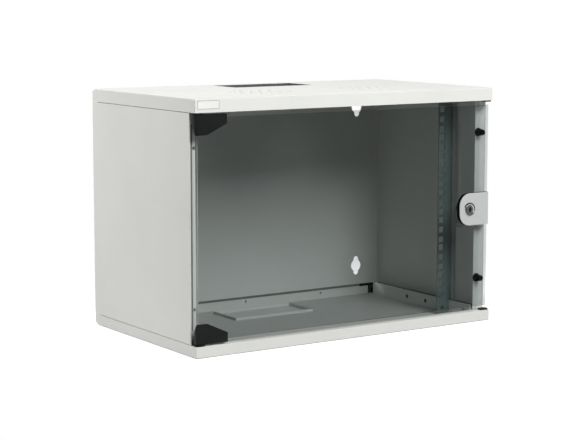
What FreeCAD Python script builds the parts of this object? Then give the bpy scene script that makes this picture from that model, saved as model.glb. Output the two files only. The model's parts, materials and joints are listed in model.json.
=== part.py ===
import FreeCAD, Part
import math
import os
import re
import Sketcher

# Wall mount network cabinet, 7 units, with a frameless glass door.
# Millimetres. X to the right, Y to the rear, Z up.
# The origin is at the middle of the underside.

doc = FreeCAD.newDocument("WallMountCabinet")
sheet = doc.addObject("Spreadsheet::Sheet", "Sizes")

SIZES = [
    # overall
    ("cabinet_width", 540.0, "outside width"),
    ("cabinet_depth", 312.0, "outside depth, front lip to wall"),
    ("cabinet_height", 370.0, "outside height"),
    ("sheet_gauge", 1.2, "thickness of every enclosure sheet"),
    # trays
    ("top_lip", 20.0, "height of the lips of the top tray"),
    ("base_lip", 17.0, "height of the lips of the bottom tray"),
    ("seam_gap", 0.8, "gap between a lip and the panel above or below it"),
    ("front_shelf", 16.0, "depth of the shelf folded in behind each front lip"),
    ("bend_radius", 1.5, "outside radius of the folds of the trays"),
    ("rear_recess", 10.8, "how far the rear panel lies inside the back edges"),
    ("tray_corner_run", 10.0, "length of the cut corner at the back of a side lip"),
    ("tray_corner_drop", 5.0, "height of the cut corner at the back of a side lip"),
    ("cable_slot_width", 145.0, "width of the cable entry in each tray"),
    ("cable_slot_depth", 68.0, "depth of the cable entry in each tray"),
    ("cable_slot_rear", 20.2, "distance of the cable entry from the rear lip"),
    ("cable_collar", 4.0, "height of the collar round the cable entry"),
    ("vent_offset", 100.0, "distance of each vent from the middle"),
    ("vent_setback", 98.0, "distance of each vent from the front"),
    ("vent_pitch", 15.0, "distance from one ring of vent holes to the next"),
    ("vent_rings", 3.0, "rings of vent holes round the middle hole"),
    ("vent_bore", 7.0, "diameter of each vent hole"),
    ("vent_count", 6.0, "holes in the first ring, and more in each ring outside it"),
    # side panels
    ("post_width", 16.5, "from the outside of a side panel to the edge of its door post"),
    ("post_recess", 6.0, "from a side panel's front edge back to its door post"),
    ("hem_round", 1.1, "radius on the doubled front edge of a side panel"),
    ("buffer_inset", 11.0, "distance of the buffer holes from the outside"),
    ("buffer_low", 67.0, "height of the lower buffer hole"),
    ("buffer_drop", 71.0, "distance of the upper buffer hole from the top"),
    ("buffer_stem", 5.0, "diameter of a buffer stem"),
    ("buffer_stem_length", 3.0, "length of a buffer stem"),
    ("buffer_base", 13.5, "diameter of a buffer at the flange"),
    ("buffer_tip", 9.0, "diameter of a buffer at the glass"),
    # rear panel
    ("keyhole_inset", 46.5, "distance of the keyholes from the outside"),
    ("keyhole_level", 52.0, "height of the lower keyholes"),
    ("keyhole_drop", 46.0, "distance of the upper keyholes from the top"),
    ("keyhole_head", 20.0, "diameter of the round middle of a keyhole"),
    ("keyhole_neck", 10.0, "width of the two necks of a keyhole"),
    ("keyhole_length", 32.0, "whole length of a keyhole"),
    ("tab_width", 30.0, "width of the tabs of the rear panel"),
    ("tab_lap", 12.0, "lap of the tabs over the rear lips"),
    ("tab_inset", 120.0, "distance of the outer tabs from the outside"),
    ("tab_screw", 4.0, "diameter of the tab screws"),
    ("tab_screw_head", 7.5, "diameter of the heads of the tab screws"),
    ("tab_screw_head_height", 2.4, "height of the heads of the tab screws"),
    # depth brackets
    ("bracket_gauge", 1.5, "thickness of a depth bracket"),
    ("bracket_inset", 20.0, "distance of a bracket's upright leg from the outside"),
    ("bracket_rise", 21.2, "height of a bracket's upright leg"),
    ("bracket_foot", 15.0, "width of a bracket's flat leg"),
    ("bracket_end_gap", 14.0, "gap from a bracket to the rear lip"),
    ("bracket_front", 24.5, "distance of a bracket's end from the front"),
    ("bracket_hole_step", 50.0, "distance between a bracket's holes"),
    ("bracket_holes", 4.0, "number of holes in a bracket"),
    ("bracket_hole_height", 10.6, "height of a bracket's holes over the tray"),
    # rack rails
    ("rail_gauge", 1.5, "thickness of a rack rail"),
    ("rail_setback", 78.0, "distance of the rack rails from the front"),
    ("rail_face", 24.8, "width of a rail from the bracket to its inner edge"),
    ("rail_step", 3.0, "depth of the step in a rack rail"),
    ("rail_outer_flange", 7.2, "width of the outer flange of a rack rail"),
    ("rail_end_gap", 1.8, "gap from a rack rail's end to the tray"),
    ("rail_ear", 24.0, "depth of the ears at the ends of a rack rail"),
    ("rail_ear_rise", 19.0, "height of the ears at the ends of a rack rail"),
    ("rail_ear_gap", 1.0, "gap between a bracket and the outer flange"),
    ("hole_inset", 17.45, "from a bracket to the middle of the square holes"),
    ("hole_side", 9.5, "side of a square hole"),
    ("unit_height", 44.45, "height of one unit, seven times its lowest hole's"),
    ("unit_count", 7.0, "number of units"),
    ("rail_foot_bore", 7.0, "hole in the foot of a rack rail"),
    ("rail_bolt", 6.0, "diameter of the rail bolts"),
    ("rail_bolt_clearance", 0.25, "clearance round the rail bolts, on the radius"),
    ("rail_bolt_head", 11.0, "diameter of the heads of the rail bolts"),
    ("rail_bolt_head_height", 3.5, "height of the heads of the rail bolts"),
    ("rail_bolt_length", 9.0, "length of the rail bolts under the head"),
    ("rail_nut_width", 10.0, "width of the rail nuts across the flats"),
    ("rail_nut_height", 5.0, "height of the rail nuts"),
    ("thread_gap", 0.02, "gap round a thread, on the radius"),
    # glass
    ("glass_gauge", 4.0, "thickness of the glass"),
    ("glass_setback", 4.0, "from the front lip to the glass"),
    ("glass_side_gap", 5.0, "from the outside to the edge of the glass"),
    ("glass_corner", 2.0, "radius of the corners of the glass"),
    # pivots
    ("pivot_inset", 8.5, "distance of the pivots from the outside"),
    ("pin_diameter", 6.0, "diameter of the pivot pins"),
    ("pin_play", 0.05, "running clearance of a pivot pin, on the radius"),
    ("pin_reach", 5.0, "how far a pivot pin goes below the shelf's outer face"),
    ("pin_head", 9.0, "diameter of the head of a pivot pin"),
    ("pin_head_height", 1.5, "height of the head of a pivot pin"),
    ("bush_width", 16.0, "width of the collar of a pivot bush"),
    ("bush_depth", 11.5, "depth of the collar of a pivot bush"),
    ("bush_corner", 5.0, "radius of the corners of the collar"),
    ("bush_height", 2.2, "height of the collar of a pivot bush"),
    ("bush_stem", 9.0, "diameter of the stem of a pivot bush"),
    ("bush_stem_length", 6.0, "length of the stem of a pivot bush"),
    ("bush_seat_gap", 0.05, "gap round the stem in the shelf, on the radius"),
    ("hinge_gap", 0.3, "running gap between the hinge and its bush"),
    # hinge shells
    ("shell_end", 6.7, "from the pivot to the closed end of the shell"),
    ("shell_reach", 45.0, "from the pivot to the open end of the shell"),
    ("shell_rise", 29.5, "height of the shell at the pivot"),
    ("shell_tip_rise", 14.0, "height of the shell at its open end"),
    ("shell_flat", 11.5, "from the pivot to the start of the slope"),
    ("shell_front", 5.4, "from the pivot to the front of the shell"),
    ("shell_back", 6.2, "from the pivot to the back of the shell"),
    ("shell_back_rise", 11.0, "height of the back face of the shell"),
    ("shell_wall_front", 2.6, "thickness of the front wall"),
    ("shell_wall_back", 2.1, "thickness of the back wall"),
    ("shell_wall_end", 2.5, "thickness of the end wall"),
    ("shell_web", 3.7, "thickness of the web under the glass"),
    ("shell_round", 5.0, "radius of the shell round the pivot"),
    ("shell_edge", 1.0, "radius of the front edges of the shell"),
    ("gasket_gauge", 0.8, "thickness of the hinge gaskets"),
    ("gasket_rise", 10.0, "height of the hinge gaskets"),
    ("gasket_start", 3.4, "from the pivot back to the gasket's near end"),
    ("gasket_end", 43.0, "from the pivot to the gasket's far end"),
    ("plate_gauge", 1.2, "thickness of the hinge pressure plates"),
    ("plate_lift", 0.5, "gap under a hinge pressure plate"),
    ("grub_diameter", 4.0, "diameter of the hinge grub screws"),
    ("grub_proud", 0.5, "how far a grub screw stands proud"),
    ("grub_height", 7.5, "height of the grub screws in the shell"),
    ("grub_near", 12.0, "from the pivot to the near grub screw"),
    ("grub_far", 34.0, "from the pivot to the far grub screw"),
    # lock
    ("lock_height", 180.0, "height of the lock"),
    ("lock_inset", 37.0, "from the edge of the glass to the lock"),
    ("leaf_reach", 19.0, "from the lock to the round end of its plate"),
    ("leaf_height", 51.0, "height of the lock plate"),
    ("leaf_round", 20.0, "radius of the round end of the lock plate"),
    ("leaf_corner", 2.0, "radius of the fold of the lock plate"),
    ("leaf_gauge", 1.4, "thickness of the lock plate"),
    ("lock_gasket_gauge", 0.6, "thickness of the lock gasket"),
    ("barrel_diameter", 18.8, "diameter of the lock barrel"),
    ("barrel_hole_gap", 0.3, "gap round the barrel in the plate, on the radius"),
    ("barrel_glass_gap", 0.9, "gap round the barrel in the glass, on the radius"),
    ("barrel_flange", 22.0, "diameter of the flange of the barrel"),
    ("barrel_flange_height", 1.6, "height of the flange of the barrel"),
    ("barrel_length", 22.7, "length of the barrel behind its flange"),
    ("lock_nut_width", 24.0, "width of the lock nut across the flats"),
    ("lock_nut_height", 4.0, "height of the lock nut"),
    ("plug_diameter", 13.0, "diameter of the turning plug"),
    ("plug_play", 0.05, "running clearance of the plug, on the radius"),
    ("plug_proud", 0.3, "how far the plug stands proud of the flange"),
    ("keyway_width", 2.2, "width of the keyway"),
    ("keyway_height", 8.0, "height of the keyway"),
    ("keyway_depth", 12.0, "depth of the keyway"),
    ("tail_diameter", 8.0, "diameter of the tail that carries the cam"),
    ("cam_gap", 0.3, "gap between the barrel and the cam"),
    ("cam_gauge", 2.0, "thickness of the cam"),
    ("cam_width", 14.0, "width of the cam"),
    ("cam_round", 5.0, "radius of the corners of the cam"),
    ("cam_reach", 31.0, "from the lock's axis to the cam's tip"),
    ("cam_screw", 4.0, "diameter of the cam screw"),
    ("cam_screw_length", 8.0, "length of the cam screw under its head"),
    ("cam_screw_head", 9.0, "diameter of the cam screw's head"),
    ("cam_screw_head_height", 3.0, "height of the cam screw's head"),
    # label place
    ("label_width", 36.5, "width of the blank label"),
    ("label_height", 13.0, "height of the blank label"),
    ("label_gauge", 0.3, "thickness of the blank label"),
    ("label_inset", 4.0, "distance of the label from the left end"),
    ("label_drop", 2.5, "distance of the label from the top"),
]

for row, (alias, value, note) in enumerate(SIZES, start=1):
    sheet.set("A%d" % row, note)
    sheet.set("B%d" % row, str(value))
    sheet.setAlias("B%d" % row, alias)
doc.recompute()

NAMES = [entry[0] for entry in SIZES]


def bound(text):
    """Turn an expression of size names into one that reads the sheet."""
    return re.sub(r"[a-z_]+", lambda word: "Sizes." + word.group() if word.group() in NAMES
                  else word.group(), text)


# Places that several pieces share, each written from the sizes once.
HALF_WIDTH = "( cabinet_width / 2 )"
INNER_HALF = "( cabinet_width / 2 - sheet_gauge )"
FRONT = "( - cabinet_depth / 2 )"
BACK = "( cabinet_depth / 2 )"
REAR_OUT = "( cabinet_depth / 2 - rear_recess )"
REAR_IN = "( cabinet_depth / 2 - rear_recess - sheet_gauge )"
SHELF_BACK = "( - cabinet_depth / 2 + front_shelf )"
POST_FACE = "( - cabinet_depth / 2 + front_shelf + post_recess )"
LIP_TOP = "( cabinet_height - top_lip )"
WALL_LOW = "( base_lip + seam_gap )"
WALL_HIGH = "( cabinet_height - top_lip - seam_gap )"
GLASS_FRONT = "( - cabinet_depth / 2 + glass_setback )"
PIVOT_X = "( cabinet_width / 2 - pivot_inset )"
PIVOT_Y = "( - cabinet_depth / 2 + glass_setback + glass_gauge / 2 )"
SHELL_LIFT = "( bush_height + hinge_gap )"
WEB_TOP = "( bush_height + hinge_gap + shell_web )"
GLASS_LIFT = "( bush_height + hinge_gap + shell_web + gasket_gauge )"
GLASS_EDGE = "( cabinet_width / 2 - glass_side_gap )"
LOCK_X = "( cabinet_width / 2 - glass_side_gap - lock_inset )"
LEAF_FRONT = "( - cabinet_depth / 2 + glass_setback - lock_gasket_gauge - leaf_gauge )"
LEAF_DEPTH = "( glass_gauge + 2 * lock_gasket_gauge + 2 * leaf_gauge )"
LEAF_END = "( lock_inset + lock_gasket_gauge + leaf_gauge )"
RAIL_FRONT = "( - cabinet_depth / 2 + rail_setback )"
RAIL_LOW = "( sheet_gauge + rail_end_gap )"
RAIL_STEP_LOW = "( sheet_gauge + bracket_rise + rail_ear_gap )"
BOLT_Y = "( - cabinet_depth / 2 + rail_setback + rail_ear / 2 )"
BOLT_Z = "( sheet_gauge + bracket_hole_height )"
UNIT_BASE = "( base_lip + ( cabinet_height - top_lip - base_lip - unit_count * unit_height ) / 2 )"
BRACKET_X = "( cabinet_width / 2 - bracket_inset )"
RAIL_INNER = "( cabinet_width / 2 - bracket_inset - rail_face )"
RAIL_STEP = "( cabinet_width / 2 - bracket_inset - rail_gauge )"
KEYHOLE_X = "( cabinet_width / 2 - keyhole_inset )"
TAB_X = "( cabinet_width / 2 - tab_inset )"
BUFFER_HIGH = "( cabinet_height - buffer_drop )"

# The positive side of each origin plane, as seen from its own normal.
NORMAL_SIGN = {"XY_Plane": "", "XZ_Plane": "- ", "YZ_Plane": ""}
REVERSED_PAD = {"XY_Plane": False, "XZ_Plane": True, "YZ_Plane": False}


def new_body(name, x="0", y="0", z="0"):
    body = doc.addObject("PartDesign::Body", name)
    body.Label = name
    body.AllowCompound = True
    for letter, text in (("x", x), ("y", y), ("z", z)):
        body.setExpression("Placement.Base." + letter, bound(text))
    return body


def new_sketch(body, role, level):
    """A sketch on one of the body's own origin planes, moved to a level."""
    sketch = body.newObject("Sketcher::SketchObject", body.Name + "_sketch")
    plane = [item for item in body.Origin.OriginFeatures if item.Role == role][0]
    sketch.AttachmentSupport = [(plane, "")]
    sketch.MapMode = "FlatFace"
    sketch.setExpression("AttachmentOffset.Base.z", bound(NORMAL_SIGN[role] + "( " + level + " )"))
    return sketch


def pin_point(sketch, geometry, point, u, v):
    """Dimension a point from the sketch's origin, sideways and upwards."""
    for kind, text in (("DistanceX", u), ("DistanceY", v)):
        number = sketch.addConstraint(Sketcher.Constraint(kind, -1, 1, geometry, point, 1.0))
        sketch.setExpression("Constraints[%d]" % number, bound(text))


def draw_polygon(sketch, corners):
    """Lines whose corners start on a circle and are moved by their dimensions."""
    first = sketch.GeometryCount
    total = len(corners)
    places = []
    for number in range(total):
        turn = 2 * math.pi * number / total
        places.append(FreeCAD.Vector(math.cos(turn), math.sin(turn), 0))
    for number in range(total):
        line = Part.LineSegment(places[number], places[(number + 1) % total])
        sketch.addGeometry(line, False)
    for number in range(total):
        following = first + (number + 1) % total
        sketch.addConstraint(Sketcher.Constraint("Coincident", first + number, 2, following, 1))
    for number, (u, v) in enumerate(corners):
        pin_point(sketch, first + number, 1, u, v)


def draw_circle(sketch, u, v, diameter):
    circle = Part.Circle(FreeCAD.Vector(0, 0, 0), FreeCAD.Vector(0, 0, 1), 1.0)
    geometry = sketch.addGeometry(circle, False)
    pin_point(sketch, geometry, 3, u, v)
    number = sketch.addConstraint(Sketcher.Constraint("Diameter", geometry, 2.0))
    sketch.setExpression("Constraints[%d]" % number, bound(diameter))


def disc(u, v, diameter):
    return lambda sketch: draw_circle(sketch, u, v, diameter)


def block(left, low, right, high):
    corners = [(left, low), (right, low), (right, high), (left, high)]
    return lambda sketch: draw_polygon(sketch, corners)


def outline(corners):
    return lambda sketch: draw_polygon(sketch, corners)


def hexagon(u, v, flats):
    """A hexagon with two flats level, from its width across the flats."""
    corner = "( %s ) / 2 / cos( 30 deg )" % flats
    corners = []
    for number in range(6):
        turn = 60 * number
        corners.append(("%s + %s * cos( %d deg )" % (u, corner, turn),
                        "%s + %s * sin( %d deg )" % (v, corner, turn)))
    return lambda sketch: draw_polygon(sketch, corners)


def add(body, role, level, length, shapes):
    """Pad shapes from a level towards the positive side of the plane."""
    sketch = new_sketch(body, role, level)
    for shape in shapes:
        shape(sketch)
    pad = body.newObject("PartDesign::Pad", body.Name + "_pad")
    pad.Profile = sketch
    pad.setExpression("Length", bound(length))
    pad.Reversed = REVERSED_PAD[role]
    doc.recompute()
    return pad


def cut(body, role, level, length, shapes):
    """Pocket shapes from a level towards the positive side of the plane."""
    before = body.Shape.Volume
    sketch = new_sketch(body, role, level)
    for shape in shapes:
        shape(sketch)
    pocket = body.newObject("PartDesign::Pocket", body.Name + "_pocket")
    pocket.Profile = sketch
    pocket.setExpression("Length", bound(length))
    pocket.Reversed = not REVERSED_PAD[role]
    doc.recompute()
    if not body.Shape.Volume < before - 1e-6:
        raise RuntimeError("nothing was cut from " + body.Label)
    return pocket


def repeat(body, feature, role, pitch, count):
    """Repeat a feature along an axis of the body."""
    pattern = body.newObject("PartDesign::LinearPattern", body.Name + "_row")
    axis = [item for item in body.Origin.OriginFeatures if item.Role == role][0]
    pattern.Originals = [feature]
    pattern.Direction = (axis, [""])
    pattern.setExpression("Length", bound("( %s ) * ( %s - 1 )" % (pitch, count)))
    pattern.setExpression("Occurrences", bound(count))
    body.Tip = pattern
    doc.recompute()
    return pattern


def round_edges(body, radius, wanted):
    """Fillet the edges whose two ends, in the body's own frame, pass a test."""
    base = body.Tip
    names = []
    for number, edge in enumerate(base.Shape.Edges, start=1):
        ends = [vertex.Point for vertex in edge.Vertexes]
        if len(ends) == 2 and wanted(ends[0], ends[1]):
            names.append("Edge%d" % number)
    if not names:
        raise RuntimeError("no edge to round on " + body.Label)
    fillet = body.newObject("PartDesign::Fillet", body.Name + "_round")
    fillet.Base = (base, names)
    fillet.setExpression("Radius", bound(radius))
    doc.recompute()
    return fillet


def same(first, second):
    return abs(first - second) < 0.001


def up(level, fold):
    """A height from a seat, upwards for fold 1 and downwards for fold -1."""
    return "( %s )" % level if fold > 0 else "( - ( %s ) )" % level


def span(low, high, fold):
    """The lower end of a span of heights, whichever way it is folded."""
    return up(low, fold) if fold > 0 else up(high, fold)


# ------------------------------------------------------------------ trays

def make_tray(name, lip, fold):
    """A folded tray: deck, lips all round, and a shelf behind the front lip.

    Heights run from the tray's outer face into the cabinet, upwards for the
    bottom tray and downwards for the top one.
    """
    body = new_body(name, z="0" if fold > 0 else "cabinet_height")
    add(body, "XY_Plane", span("0", "sheet_gauge", fold), "sheet_gauge",
        [block("- " + HALF_WIDTH, FRONT, HALF_WIDTH, REAR_OUT)])
    add(body, "XY_Plane", span("0", lip, fold), lip,
        [block("- " + HALF_WIDTH, FRONT, HALF_WIDTH, FRONT + " + sheet_gauge")])
    add(body, "XY_Plane", span(lip + " - sheet_gauge", lip, fold), "sheet_gauge",
        [block("- " + HALF_WIDTH, FRONT, HALF_WIDTH, SHELF_BACK)])
    add(body, "XY_Plane", span("0", lip, fold), lip,
        [block("- " + HALF_WIDTH, REAR_IN, HALF_WIDTH, REAR_OUT)])
    side = [(FRONT, "0"),
            (BACK + " - tray_corner_run", "0"),
            (BACK, up("tray_corner_drop", fold)),
            (BACK, up(lip, fold)),
            (FRONT, up(lip, fold))]
    add(body, "YZ_Plane", "- " + HALF_WIDTH, "sheet_gauge", [outline(side)])
    add(body, "YZ_Plane", INNER_HALF, "sheet_gauge", [outline(side)])
    half = sheet.cabinet_width / 2
    front = -sheet.cabinet_depth / 2

    def is_fold(first, second):
        on_face = all(same(place.z, 0) for place in (first, second))
        on_front = all(same(place.y, front) for place in (first, second))
        on_side = all(same(abs(place.x), half) for place in (first, second))
        same_side = on_side and same(first.x, second.x)
        return on_face and (on_front or same_side) or on_front and same_side

    round_edges(body, "bend_radius", is_fold)
    # the cable entry, with its collar turned into the cabinet
    slot_back = REAR_IN + " - cable_slot_rear"
    slot_front = slot_back + " - cable_slot_depth"
    slot_half = "cable_slot_width / 2"
    collar = "( sheet_gauge + cable_collar )"
    add(body, "XY_Plane", span("0", collar, fold), collar,
        [block("- ( " + slot_half + " + sheet_gauge )", slot_front + " - sheet_gauge",
               slot_half + " + sheet_gauge", slot_back + " + sheet_gauge")])
    cut(body, "XY_Plane", span("0", collar, fold), collar,
        [block("- ( " + slot_half + " )", slot_front, slot_half, slot_back)])
    # seats of the pivot bushes in the shelf
    cut(body, "XY_Plane", span(lip + " - sheet_gauge", lip, fold), "sheet_gauge",
        [disc("- " + PIVOT_X, PIVOT_Y, "bush_stem + 2 * bush_seat_gap"),
         disc(PIVOT_X, PIVOT_Y, "bush_stem + 2 * bush_seat_gap")])
    # tapped holes for the screws of the rear panel's tabs
    cut(body, "XZ_Plane", REAR_IN, "sheet_gauge",
        [disc(place, up(lip + " - tab_lap / 2", fold), "tab_screw + 2 * thread_gap")
         for place in ("- " + TAB_X, "0", TAB_X)])
    return body


bottom_tray = make_tray("bottom_tray", "base_lip", 1)
top_tray = make_tray("top_tray", "top_lip", -1)

# two round vents in the roof, each a hole with rings of holes round it
vent_y = FRONT + " + vent_setback"
for vent_x in ("- vent_offset", "vent_offset"):
    holes = [disc(vent_x, vent_y, "vent_bore")]
    for ring in range(1, int(sheet.vent_rings) + 1):
        for number in range(ring * int(sheet.vent_count)):
            turn = "( %d * 360 / ( %d * vent_count ) ) * 1 deg" % (number, ring)
            reach = "%d * vent_pitch" % ring
            holes.append(disc(vent_x + " + " + reach + " * cos( " + turn + " )",
                              vent_y + " + " + reach + " * sin( " + turn + " )", "vent_bore"))
    cut(top_tray, "XY_Plane", "- sheet_gauge", "sheet_gauge", holes)


# ------------------------------------------------------------ side panels

def make_side_panel(name, hand):
    """A side wall, its front edge folded double and then in as the door post."""
    body = new_body(name)
    outer = hand + HALF_WIDTH
    inner = hand + INNER_HALF
    hem_inner = hand + "( cabinet_width / 2 - 2 * sheet_gauge )"
    post_edge = hand + "( cabinet_width / 2 - post_width )"
    post_back = POST_FACE + " + sheet_gauge"
    add(body, "XY_Plane", "sheet_gauge", "( cabinet_height - 2 * sheet_gauge )",
        [outline([(outer, SHELF_BACK), (outer, BACK), (inner, BACK), (inner, post_back),
                  (post_edge, post_back), (post_edge, POST_FACE), (hem_inner, POST_FACE),
                  (hem_inner, SHELF_BACK)])])
    front_y = -sheet.cabinet_depth / 2 + sheet.front_shelf
    round_edges(body, "hem_round",
                lambda a, b: same(a.x, b.x) and all(same(p.y, front_y) for p in (a, b)))
    # inside the trays only the door post goes on, to the decks
    beyond = hand + "( cabinet_width / 2 + sheet_gauge )"
    for low, length in (("sheet_gauge", "( base_lip + seam_gap - sheet_gauge )"),
                        (WALL_HIGH, "( top_lip + seam_gap - sheet_gauge )")):
        cut(body, "XY_Plane", low, length,
            [block(hem_inner, SHELF_BACK + " - sheet_gauge", beyond, BACK + " + sheet_gauge")])
    cut(body, "XZ_Plane", POST_FACE, "sheet_gauge",
        [disc(hand + "( cabinet_width / 2 - buffer_inset )", level, "buffer_stem + 2 * thread_gap")
         for level in ("buffer_low", BUFFER_HIGH)])
    return body


make_side_panel("side_panel_left", "- ")
make_side_panel("side_panel_right", "")

# ------------------------------------------------------------- rear panel

rear_panel = new_body("rear_panel")
return_edge = "( cabinet_width / 2 - 2 * sheet_gauge )"
add(rear_panel, "XY_Plane", WALL_LOW, "( cabinet_height - top_lip - base_lip - 2 * seam_gap )",
    [outline([("- " + INNER_HALF, REAR_IN), (INNER_HALF, REAR_IN), (INNER_HALF, BACK),
              (return_edge, BACK), (return_edge, REAR_OUT),
              ("- " + return_edge, REAR_OUT), ("- " + return_edge, BACK),
              ("- " + INNER_HALF, BACK)])])
tab_places = ("- " + TAB_X, "0", TAB_X)
low_tab = ("( base_lip - tab_lap )", "( base_lip + seam_gap + tab_lap )")
high_tab = ("( cabinet_height - top_lip - seam_gap - tab_lap )",
            "( cabinet_height - top_lip + tab_lap )")
add(rear_panel, "XZ_Plane", REAR_OUT, "sheet_gauge",
    [block(place + " - tab_width / 2", low, place + " + tab_width / 2", high)
     for place in tab_places for low, high in (low_tab, high_tab)])
tab_holes = [(place, level) for place in tab_places
             for level in ("base_lip - tab_lap / 2", LIP_TOP + " + tab_lap / 2")]
cut(rear_panel, "XZ_Plane", REAR_OUT, "sheet_gauge",
    [disc(place, level, "tab_screw + 2 * thread_gap") for place, level in tab_holes])
# double-ended keyholes for the wall screws
keyholes = [(place, level) for place in ("- " + KEYHOLE_X, KEYHOLE_X)
            for level in ("keyhole_level", "cabinet_height - keyhole_drop")]
neck = "( keyhole_length - keyhole_neck ) / 2"
cut(rear_panel, "XZ_Plane", REAR_IN, "sheet_gauge",
    [disc(place, level, "keyhole_head") for place, level in keyholes])
cut(rear_panel, "XZ_Plane", REAR_IN, "sheet_gauge",
    [block(place + " - keyhole_neck / 2", level + " - " + neck,
           place + " + keyhole_neck / 2", level + " + " + neck)
     for place, level in keyholes])
cut(rear_panel, "XZ_Plane", REAR_IN, "sheet_gauge",
    [disc(place, level + side + neck, "keyhole_neck")
     for place, level in keyholes for side in (" + ", " - ")])

# screws that hold the rear panel's tabs to the rear lips
tab_screws = new_body("rear_panel_screws")
add(tab_screws, "XZ_Plane", REAR_IN, "2 * sheet_gauge",
    [disc(place, level, "tab_screw") for place, level in tab_holes])
add(tab_screws, "XZ_Plane", REAR_OUT + " + sheet_gauge", "tab_screw_head_height",
    [disc(place, level, "tab_screw_head") for place, level in tab_holes])


# -------------------------------------------- depth brackets and rack rails

def make_bracket(name, hand, fold):
    """An angle along the cabinet's depth, with holes for the rail bolts."""
    body = new_body(name, z="0" if fold > 0 else "cabinet_height")
    span_in = hand + BRACKET_X
    leg_out = hand + "( " + BRACKET_X + " + bracket_gauge )"
    foot_out = hand + "( " + BRACKET_X + " + bracket_foot )"
    floor = up("sheet_gauge", fold)
    add(body, "XZ_Plane", FRONT + " + bracket_front",
        "( cabinet_depth - bracket_front - rear_recess - sheet_gauge - bracket_end_gap )",
        [outline([(span_in, floor), (foot_out, floor),
                  (foot_out, up("sheet_gauge + bracket_gauge", fold)),
                  (leg_out, up("sheet_gauge + bracket_gauge", fold)),
                  (leg_out, up("sheet_gauge + bracket_rise", fold)),
                  (span_in, up("sheet_gauge + bracket_rise", fold))])])
    start = BRACKET_X if hand == "" else leg_out
    hole = cut(body, "YZ_Plane", start, "bracket_gauge",
               [disc(BOLT_Y + " - bracket_hole_step", up(BOLT_Z, fold),
                     "rail_bolt + 2 * rail_bolt_clearance")])
    repeat(body, hole, "Y_Axis", "bracket_hole_step", "bracket_holes")
    return body


for hand_name, hand in (("left", "- "), ("right", "")):
    make_bracket("depth_bracket_lower_" + hand_name, hand, 1)
    make_bracket("depth_bracket_upper_" + hand_name, hand, -1)


def make_rail(name, hand):
    """A folded rail with a column of square holes and an ear at each end."""
    body = new_body(name)
    inside = hand + RAIL_INNER
    step_in = hand + "( " + RAIL_STEP + " - rail_gauge )"
    step_out = hand + RAIL_STEP
    ear_out = hand + BRACKET_X
    flange_out = hand + "( " + RAIL_STEP + " + rail_outer_flange )"
    face_back = RAIL_FRONT + " + rail_gauge"
    step_face = RAIL_FRONT + " + rail_step"
    step_back = RAIL_FRONT + " + rail_step + rail_gauge"
    add(body, "XY_Plane", RAIL_STEP_LOW, "( cabinet_height - 2 * " + RAIL_STEP_LOW + " )",
        [outline([(inside, RAIL_FRONT), (step_out, RAIL_FRONT), (step_out, step_face),
                  (flange_out, step_face), (flange_out, step_back), (step_in, step_back),
                  (step_in, face_back), (inside, face_back)])])
    high_end = "( cabinet_height - " + RAIL_LOW + " )"
    for low, length in ((RAIL_LOW, "( " + RAIL_STEP_LOW + " - " + RAIL_LOW + " )"),
                        ("( cabinet_height - " + RAIL_STEP_LOW + " )",
                         "( " + RAIL_STEP_LOW + " - " + RAIL_LOW + " )")):
        add(body, "XY_Plane", low, length,
            [block(inside, RAIL_FRONT, ear_out, face_back)])
    for low in (RAIL_LOW, high_end + " - rail_ear_rise"):
        add(body, "XY_Plane", low, "rail_ear_rise",
            [block(step_out, RAIL_FRONT, ear_out, RAIL_FRONT + " + rail_ear")])
    # three square holes to a unit, repeated for every unit
    column = hand + "( " + BRACKET_X + " - hole_inset )"
    squares = []
    for number in range(3):
        middle = UNIT_BASE + " + unit_height / 7 + %d * unit_height * 5 / 14" % number
        squares.append(block(column + " - hole_side / 2", middle + " - hole_side / 2",
                             column + " + hole_side / 2", middle + " + hole_side / 2"))
    unit = cut(body, "XZ_Plane", RAIL_FRONT, "rail_gauge", squares)
    repeat(body, unit, "Z_Axis", "unit_height", "unit_count")
    foot_x = hand + "( ( " + RAIL_INNER + " + " + RAIL_STEP + " ) / 2 )"
    cut(body, "XZ_Plane", RAIL_FRONT, "rail_gauge",
        [disc(foot_x, BOLT_Z, "rail_foot_bore"),
         disc(foot_x, "( cabinet_height - " + BOLT_Z + " )", "rail_foot_bore")])
    ear_start = RAIL_STEP if hand == "" else ear_out
    cut(body, "YZ_Plane", ear_start, "rail_gauge",
        [disc(BOLT_Y, BOLT_Z, "rail_bolt + 2 * rail_bolt_clearance"),
         disc(BOLT_Y, "( cabinet_height - " + BOLT_Z + " )", "rail_bolt + 2 * rail_bolt_clearance")])
    return body


make_rail("rack_rail_left", "- ")
make_rail("rack_rail_right", "")

# the four bolts and nuts that clamp the rails' ears to the depth brackets
rail_bolts = new_body("rail_bolts")
rail_nuts = new_body("rail_nuts")
bolt_seat = RAIL_STEP
nut_seat = "( " + BRACKET_X + " + bracket_gauge )"
levels = (BOLT_Z, "( cabinet_height - " + BOLT_Z + " )")
for head_start, shank_start, nut_start in (
        (bolt_seat + " - rail_bolt_head_height", bolt_seat, nut_seat),
        ("- " + bolt_seat, "- ( " + bolt_seat + " + rail_bolt_length )",
         "- ( " + nut_seat + " + rail_nut_height )")):
    add(rail_bolts, "YZ_Plane", head_start, "rail_bolt_head_height",
        [disc(BOLT_Y, level, "rail_bolt_head") for level in levels])
    add(rail_bolts, "YZ_Plane", shank_start, "rail_bolt_length",
        [disc(BOLT_Y, level, "rail_bolt") for level in levels])
    add(rail_nuts, "YZ_Plane", nut_start, "rail_nut_height",
        [hexagon(BOLT_Y, level, "rail_nut_width") for level in levels])
    cut(rail_nuts, "YZ_Plane", nut_start, "rail_nut_height",
        [disc(BOLT_Y, level, "rail_bolt + 2 * thread_gap") for level in levels])


# ------------------------------------------------ pivot bushes and buffers

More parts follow.
